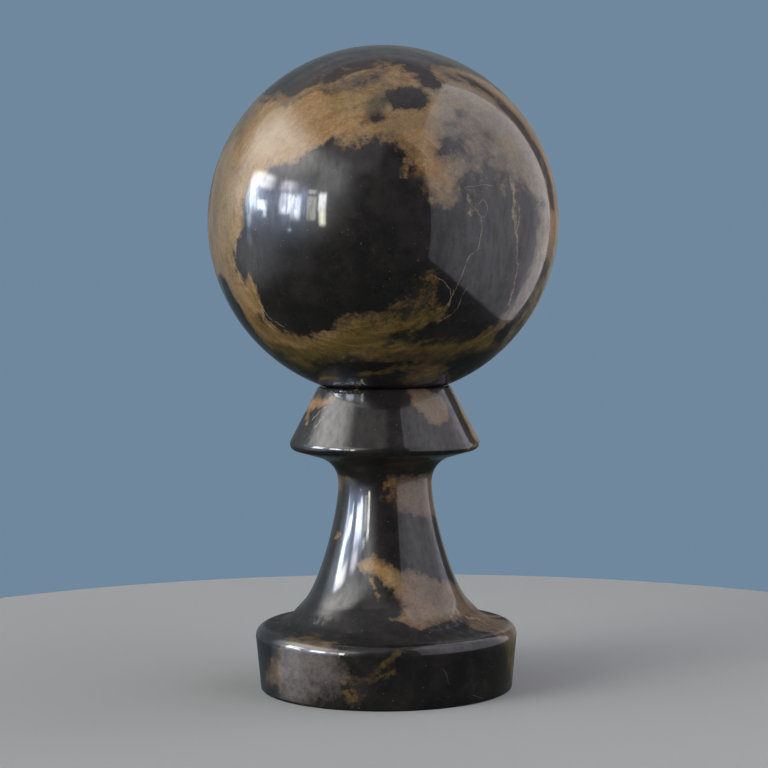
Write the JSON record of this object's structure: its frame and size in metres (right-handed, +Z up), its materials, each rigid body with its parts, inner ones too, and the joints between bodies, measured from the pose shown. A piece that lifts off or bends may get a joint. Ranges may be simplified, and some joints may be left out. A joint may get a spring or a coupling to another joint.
{
  "type": "decorative sphere on stand",
  "caption": "Polished dark stone sphere resting loose in the dished top of a turned stone pedestal with a conical collar, trumpet stem and thick disc base.",
  "frame": {"origin": "centre of the stand's flat underside, on the surface it stands on", "axes": "+Z up along the common axis of ball and stand; -Y faces the viewer in the reference view; +X to the viewer's right"},
  "size_m": [0.15, 0.15, 0.2757],
  "materials": {
    "ball_stone": "polished near-black stone with large ochre and brown clouds, streaks and fine tan veins",
    "stand_stone": "polished near-black stone with a few ochre-brown patches, small pits and chips at the top edge"
  },
  "bodies": {
    "root": {"ball": "ball_stone", "stand": "stand_stone"}
  },
  "joints": []
}
